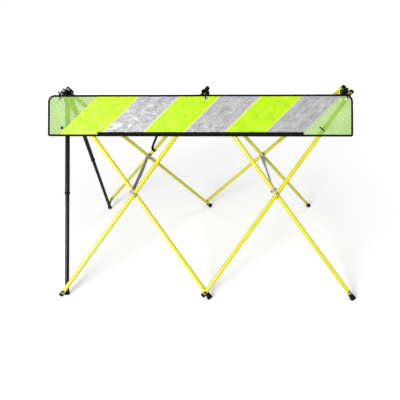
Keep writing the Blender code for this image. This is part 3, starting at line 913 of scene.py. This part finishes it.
def make_binding():
    """Tape folded over the edge all round: a flat rounded section carried round the outline."""
    points = outline_points()
    count = len(points)
    section = [(0.0, 0.0), (0.0008, 0.0012), (0.003, 0.0018), (BINDING, 0.0018), (BINDING, 0.0012),
               (BINDING, -0.0012), (BINDING, -0.0016), (0.003, -0.0016), (0.0008, -0.0011)]
    bm = bmesh.new()
    layer = bm.loops.layers.uv.new("metres")
    rings, run = [], 0.0
    for k, (u, v) in enumerate(points):
        before, after = points[k - 1], points[(k + 1) % count]
        along = Vector((after[0] - before[0], after[1] - before[1], 0)).normalized()
        inward = Vector((-along.y, along.x, 0))
        rings.append([bm.verts.new(banner_point(u + inward.x * d, v + inward.y * d, lift))
                      for d, lift in section])
    for k in range(count):
        a, b = rings[k], rings[(k + 1) % count]
        length = math.dist(points[k], points[(k + 1) % count])
        for m in range(len(section)):
            o = (m + 1) % len(section)
            face = bm.faces.new([a[m], a[o], b[o], b[m]])
            for loop, (x, y) in zip(face.loops, ((run, m), (run, m + 1), (run + length, m + 1),
                                                 (run + length, m))):
                loop[layer].uv = (x, y * 0.002)
        run += length
    return finished(bm)


def ribbon(points, widths, thickness):
    """A closed flat band along points, each with its own width vector; UVs run along and across it."""
    bm = bmesh.new()
    layer = bm.loops.layers.uv.new("metres")
    rings, run = [], 0.0
    count = len(points)
    for k, (point, width) in enumerate(zip(points, widths)):
        after = points[min(k + 1, count - 1)]
        before = points[max(k - 1, 0)]
        up = (after - before).cross(width).normalized() * (thickness / 2)
        half = width / 2
        edge = half * 0.94
        corners = (-half, -edge + up, edge + up, half, edge - up, -edge - up)
        rings.append([bm.verts.new(point + corner) for corner in corners])
    across = [0.0, 0.06, 0.94, 1.0, 0.94, 0.06]
    for k in range(count - 1):
        length = (points[k + 1] - points[k]).length
        size = widths[k].length
        for m in range(6):
            o = (m + 1) % 6
            face = bm.faces.new([rings[k][m], rings[k][o], rings[k + 1][o], rings[k + 1][m]])
            for loop, (x, y) in zip(face.loops, ((run, across[m]), (run, across[o]),
                                                 (run + length, across[o]), (run + length, across[m]))):
                loop[layer].uv = (x, y * size)
        run += length
    bm.faces.new(rings[0])
    bm.faces.new(rings[-1][::-1])
    return finished(bm)


# Where the hook tape starts and ends and where the eyelets are, along the ridge from its middle.
HOOK_FROM, HOOK_TO, HOOK_HEIGHT = -0.576, 0.518, 0.023
GROMMETS = {"left": -0.775, "mid": 0.003, "right": 0.744}
GROMMET_DROP = 0.021


def make_hook_strip():
    """The hook tape along the lower edge, in front of the binding."""
    u0, u1 = HOOK_FROM - BANNER_X, HOOK_TO - BANNER_X
    columns = 140
    step = (u1 - u0) / columns
    rows = 4

    def flat(i, j):
        return u0 + i * step, HOOK_HEIGHT * j / rows

    def place(i, j):
        u, v = flat(i, j)
        return banner_point(u, v, 0.0024 + crumple(u, v, 0.5))

    mesh = uv_grid("hook", columns, rows, place, flat)
    return applied(mesh, "SOLIDIFY", thickness=0.0012, offset=0)


def close_up(piece):
    """Give a piece a mesh of its own."""
    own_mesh(piece)


def soft_piece(name, mesh, look, replaced=()):
    """A piece of the banner: it rides on the middle hub, with a mesh of its own."""
    piece = put(mesh, WORLD, name, look, "mid_hub_front", replaced, 50)
    close_up(piece)
    return piece


def make_banner(looks):
    panel = soft_piece("banner_panel", make_panel(looks), looks["lime"], replaced=["banner"])
    extras = [
        soft_piece("banner_net_left", make_net(-1), looks["net"]),
        soft_piece("banner_net_right", make_net(1), looks["net"]),
        soft_piece("banner_binding", make_binding(), looks["binding"]),
        soft_piece("banner_hook_strip", make_hook_strip(), looks["hook"]),
    ]
    for hub, x in GROMMETS.items():
        eyelet = grommet(x - BANNER_X, BANNER_HEIGHT - GROMMET_DROP)
        extras.append(soft_piece(f"banner_grommet_{hub}", eyelet, looks["nickel"]))


def grommet(u, v):
    """A rolled eyelet through the cloth."""
    bm = bmesh.new()
    centre = banner_point(u, v, 0.0022)
    matrix = placed(centre, outward(-1), Vector((1, 0, 0)))
    rolled = [(0.0046 + 0.0024 * (1 + math.cos(a)), 0.0013 * math.sin(a))
              for a in [2 * math.pi * k / 10 for k in range(10)]]
    turn(bm, rolled, 28, matrix, closed=True)
    return finished(bm)


# ---------------------------------------------------------------- straps

STRAP_LAP = 0.064
STRAP_STANDOFF = 0.002
STRAP_WIDTH = 0.020
STRAP_THICK = 0.0016
STRAP_LOOP_UP = 0.024


def cuff(centre, *steps):
    """A band round a leg tube, from (height over the tube, distance from the centre) steps."""
    lower = [(TUBE_R + over, centre - reach) for over, reach in steps]
    upper = [(TUBE_R + over, centre + reach) for over, reach in reversed(steps)]
    return turned(lower + upper, 36, closed=True)


def make_straps(looks):
    for bay in ("left", "right"):
        for row, side in SIDES.items():
            node = f"{bay}_strap_{row}_half"
            low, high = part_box(node)
            x = (low.x + high.x) / 2
            tip = low.y if side < 0 else high.y
            reach = abs(tip)
            lift = 0.0012 if side < 0 else -0.0012
            end_z = high.z
            sag = high.z - low.z
            steps = 40
            points, widths = [], []
            for k in range(steps + 1):
                y = side * (reach - STRAP_STANDOFF - (reach - STRAP_STANDOFF + STRAP_LAP) * k / steps)
                share = y / reach
                fall = -sag * 0.93 * (1 - share * share)
                turnover = 0.0
                if bay == "right":
                    turnover = 1.42 * math.exp(-(share / 0.8) ** 6)
                bulge = 0.013 * (1 - share * share) if bay == "right" else 0.0
                face = Vector((-math.sin(turnover), 0, math.cos(turnover)))
                points.append(Vector((x + bulge, y, end_z - 0.001 + fall)) + face * lift)
                widths.append(Vector((math.cos(turnover), 0, math.sin(turnover))) * STRAP_WIDTH)
            web = ribbon(points, widths, STRAP_THICK)
            piece = put(web, WORLD, f"{bay}_strap_{row}_web", looks["webbing"], f"{bay}_strap_{row}",
                        [node], 40)
            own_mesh(piece)
            make_strap_loop(bay, row, side, looks)


def make_strap_loop(bay, row, side, looks):
    """The strap's end, sewn in a loop round its leg tube, with a black stud on each side."""
    leg = "left_inner" if bay == "left" else "right_inner"
    top_x, foot_x, layer = LEGS[leg]
    matrix = leg_frame(side, top_x, foot_x, layer)
    centre = math.dist((top_x, UPPER), (foot_x, LOWER)) / 2 + STRAP_LOOP_UP
    loop = cuff(centre, (0.0001, 0.009), (0.0014, 0.0088), (0.0017, 0.008))
    put(loop, matrix, f"{bay}_strap_{row}_loop", looks["webbing_loop"], f"{row}_{leg}_leg")
    for hand in (-1, 1):
        stud = [(0, 0.0056), (0.0030, 0.0052), (0.0046, 0.0036), (0.0048, 0.0012), (0.0034, 0.0), (0, 0.0)]
        spot = matrix @ Vector((hand * (TUBE_R + 0.0012), 0, centre))
        out = (matrix.to_3x3() @ Vector((hand, 0, 0))).normalized()
        put(turned(stud, 20), placed(spot, out, Vector((0, 1, 0))), f"{bay}_strap_{row}_stud_{hand + 1}",
            looks["vinyl"], f"{row}_{leg}_leg")


# ---------------------------------------------------------------- ties and fasteners

TIE_WIDTH = 0.016
TIE_THICK = 0.0012
# How far over the upper pivots a tie crosses the legs, to stay clear of their caps.
TIE_OVER_CAPS = 0.033


def smooth_path(points, per=6):
    """Catmull-Rom points through a few chosen ones."""
    points = [Vector(p) for p in points]
    ends = [points[0] * 2 - points[1]] + points + [points[-1] * 2 - points[-2]]
    path = []
    for a, b, c, d in zip(ends, ends[1:], ends[2:], ends[3:]):
        for k in range(per):
            t = k / per
            path.append(0.5 * (2 * b + (c - a) * t + (2 * a - 5 * b + 4 * c - d) * t ** 2
                               + (3 * b - a - 3 * c + d) * t ** 3))
    return path + [points[-1]]


def band(name, points, across, looks, body, width=TIE_WIDTH, thick=TIE_THICK):
    """A flat tie along a smooth path, with its width along one direction kept square to the path."""
    path = smooth_path(points)
    widths = []
    for k in range(len(path)):
        along = (path[min(k + 1, len(path) - 1)] - path[max(k - 1, 0)]).normalized()
        flat = Vector(across) - along * Vector(across).dot(along)
        widths.append(flat.normalized() * width)
    return put(ribbon(path, widths, thick), WORLD, name, looks["tie"], body, sharp=50)


# Bow loops and tails over each hub, in millimetres from the ridge: right, up and back.
BOWS = {
    "left": {
        "loop_a": [(-4, 14, -6), (-20, 30, -12), (-30, 16, -18), (-6, 10, -8)],
        "loop_b": [(0, 14, -6), (-2, 38, -10), (12, 36, -14), (4, 12, -8)],
        "tail_a": [(4, 14, -8), (14, 32, -14), (26, 24, -18), (36, 12, -19)],
        "tail_b": [(-4, 12, -10), (-24, 10, -16), (-42, 2, -20), (-44, 20, -22)],
    },
    "mid": {
        "loop_a": [(-2, 8, -8), (10, 16, -12), (21, 6, -16), (4, 4, -10)],
        "loop_b": [(-4, 8, -8), (-16, 2, -16), (-26, -10, -18), (-6, 0, -12)],
        "tail_a": [(0, 8, -6), (-10, 14, -10), (-21, 17, -14)],
        "tail_b": [(0, 6, -10), (14, 0, -16), (25, -12, -19)],
    },
    "right": {
        "loop_a": [(-4, 4, -8), (-14, 4, -14), (-22, -8, -18), (-4, -2, -12)],
        "loop_b": [(2, 2, -10), (12, 0, -14), (22, -12, -18), (6, -4, -12)],
        "tail_a": [(4, 2, -10), (16, -6, -16), (26, -22, -24)],
    },
}
HUB_X = {"left": -BAY, "mid": 0.0, "right": BAY}
MM = 0.001


def make_hub_ties(looks):
    """From each eyelet a tie goes over the banner's edge and is knotted round the hub."""
    for hub, strands in BOWS.items():
        body = f"{hub}_hub_front"
        x, eye_x = HUB_X[hub], GROMMETS[hub]
        top = -BANNER_HIGH.y
        front = BANNER_FRONT + 0.0042
        over = UPPER - TIE_OVER_CAPS
        lead = [at(-1, eye_x, top + GROMMET_DROP, front), at(-1, eye_x, top + 0.006, front + 0.001),
                at(-1, eye_x, top - 0.008, front - 0.004), at(-1, (eye_x + x) / 2, over, OUTER + 0.014),
                at(-1, x, over, INNER - 0.014), at(-1, x, -0.006, 0.016)]
        band(f"{hub}_tie_lead", lead, (1, 0, 0), looks, body, 0.005)
        ring = [RIDGE + Vector((x + 0.001, 0.0135 * math.sin(a), 0.0135 * math.cos(a)))
                for a in [math.radians(-118 + 236 * k / 10) for k in range(11)]]
        band(f"{hub}_tie_wrap", ring, (1, 0, 0), looks, body, 0.013)
        knot = [RIDGE + Vector((x - 0.007 + 0.014 * k / 4, -0.0075 + 0.002 * math.sin(k * 1.6),
                                0.0150 + 0.0025 * math.sin(k * math.pi / 4))) for k in range(5)]
        band(f"{hub}_tie_knot", knot, (0, 0.8, 0.6), looks, body, 0.011, 0.005)
        for strand, points in strands.items():
            path = [RIDGE + Vector((x + right * MM, back * MM, up * MM)) for right, up, back in points]
            band(f"{hub}_tie_{strand}", path, (0.1, 0.95, 0.3), looks, body)


def make_low_ties(looks):
    """Short ties that hold the banner's lower corners to the tubes behind it."""
    back = BANNER_BACK - 0.001
    places = {
        "low_tie_left": (-0.765, 0.205, BANNER_BACK - 0.007, "mid_hub_front", (0.005, 0.0), 0.011),
        "low_tie_right": (0.612, 0.221, OUTER + TUBE_R, "front_right_outer_leg", (0.011, 0.0105), 0.006),
    }
    for name, (x, t, depth, body, (dx, dt), width) in places.items():
        path = [at(-1, x + dx * share, t + dt * share, n) for share, n in (
            (1.0, depth - 0.002), (1.0, back), (0.85, BANNER_FRONT + 0.0042), (-0.85, BANNER_FRONT + 0.0042),
            (-1.0, back), (-1.0, depth - 0.002))]
        across = at(-1, dt, -dx, 0) - at(-1, 0, 0, 0)
        piece = band(name, path, across, looks, body, width, 0.0016)
        if body == "mid_hub_front":
            close_up(piece)


# The lower loop is this far down the leg from its upper pivot, and the upper loop this far above it.
CLOSURE_DROP = 0.588
CLOSURE_RISE = 0.27


def make_closure_strap(looks):
    """A black strap looped round a back leg, which ties the folded legs together."""
    top_x, foot_x, layer = LEGS["left_outer"]
    matrix = leg_frame(1, top_x, foot_x, layer)
    length = math.dist((top_x, UPPER), (foot_x, LOWER))
    centre = length - CLOSURE_DROP
    upper = matrix @ Matrix.Translation((0, 0, CLOSURE_RISE))
    for name, place in (("closure_strap_loop", matrix), ("closure_strap_upper_loop", upper)):
        loop = cuff(centre, (0.0001, 0.010), (0.0018, 0.0095), (0.0021, 0.008))
        put(loop, place, name, looks["tie"], "back_left_outer_leg")
    start = matrix @ Vector((-0.0145, 0.0, centre))
    points = [start + Vector((-0.002, 0, -0.012)), start + Vector((-0.001, 0, 0.010)),
              start + Vector((0.014, -0.004, 0.046)), start + Vector((0.034, -0.008, 0.088)),
              start + Vector((0.062, -0.006, 0.132)), upper @ Vector((-0.030, 0.0, centre - 0.030)),
              upper @ Vector((-0.0145, 0.0, centre - 0.006)), upper @ Vector((-0.0142, 0.0, centre + 0.008))]
    band("closure_strap_tail", points, (0.9, 0, -0.4), looks, "back_left_outer_leg", 0.015, 0.0018)


# ---------------------------------------------------------------- build


def main():
    make_camera()
    make_stage()
    looks = {
        "yellow": yellow_paint(),
        "coat": black_coat(),
        "vinyl": moulded_black("black_vinyl_cap", 0.32, 0.5, 500, 0.00006),
        "rubber": moulded_black("black_rubber_foot", 0.6, 0.85, 260, 0.00015, dusty=True),
        "nylon": moulded_black("black_nylon_hub", 0.38, 0.6, 900, 0.00008),
        "steel": black_steel(),
        "zinc": zinc_steel(),
        "nickel": nickel(),
        "tie": edge_binding(),
        "webbing": webbing("grey_webbing", (0.085, 0.10, 0.12), (0.24, 0.27, 0.31), (0.40, 0.43, 0.48)),
        "webbing_loop": webbing("pale_webbing", (0.30, 0.30, 0.36), (0.52, 0.52, 0.60), (0.70, 0.69, 0.78)),
        # the lime sheeting has a painted glow
        "lime": prismatic("lime_sheeting", (0.50, 0.86, 0.002), (0.66, 0.97, 0.02), (0.33, 0.62, 0.0),
                          (0.70, 0.88, 0.01), (0.80, 1.0, 0.30), 0.2, 0.45, glow=0.08),
        "silver": prismatic("silver_sheeting", (0.50, 0.50, 0.51), (0.80, 0.80, 0.80), (0.30, 0.30, 0.32),
                            (0.60, 0.58, 0.74), (0.95, 0.95, 0.93), 0.2, 0.5, metallic=0.15),
        "net": net_thread(),
        "backing": net_backing(),
        "binding": edge_binding(),
        "hook": hook_tape(),
    }
    for row, side in SIDES.items():
        make_legs(row, side, looks)
        make_struts(row, side, looks)
        make_pins(row, side, looks)
    make_ridge_pins(looks)
    dress_leaves(looks)
    make_banner(looks)
    make_straps(looks)
    make_hub_ties(looks)
    make_low_ties(looks)
    make_closure_strap(looks)


main()
